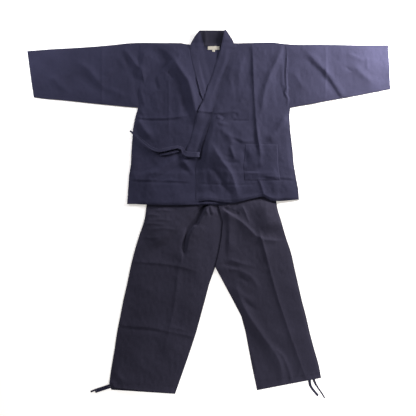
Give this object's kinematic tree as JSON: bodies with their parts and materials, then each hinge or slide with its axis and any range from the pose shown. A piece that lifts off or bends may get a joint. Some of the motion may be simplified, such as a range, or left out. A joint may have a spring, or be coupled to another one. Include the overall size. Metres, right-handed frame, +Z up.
{
  "type": "samue laid flat",
  "caption": "Work set laid out flat: a wrap jacket with collar band, patch pocket and ties, over straight trousers with taped cuffs.",
  "frame": {"origin": "on the surface that the set lies on, under the middle of its outline", "axes": "+X towards the wearer's left, +Y from the cuffs of the trousers to the collar, +Z up, away from the surface"},
  "size_m": [1.498, 1.4862, 0.0186],
  "materials": {
    "jacket_cloth": "matte plain-weave cotton",
    "collar_cloth": "matte plain-weave cotton, folded double",
    "tie_cloth": "matte plain-weave cotton, folded double",
    "label_cloth": "bare woven tape",
    "trouser_cloth": "matte plain-weave cotton",
    "cuff_tape": "flat woven tape"
  },
  "bodies": {
    "root": {"jacket_back": "jacket_cloth", "jacket_front_right": "jacket_cloth", "jacket_front_left": "jacket_cloth", "sleeve_right": "jacket_cloth", "sleeve_left": "jacket_cloth", "pocket": "jacket_cloth", "collar_back": "collar_cloth", "collar_right": "collar_cloth", "collar_left": "collar_cloth", "tie_left": "tie_cloth", "tie_right": "tie_cloth", "neck_label": "label_cloth", "size_tab": "label_cloth", "leg_front_right": "trouser_cloth", "leg_back_right": "trouser_cloth", "leg_front_left": "trouser_cloth", "leg_back_left": "trouser_cloth", "cuff_tape_right_1": "cuff_tape", "cuff_tape_right_2": "cuff_tape", "cuff_tape_left_1": "cuff_tape", "cuff_tape_left_2": "cuff_tape"}
  },
  "joints": []
}
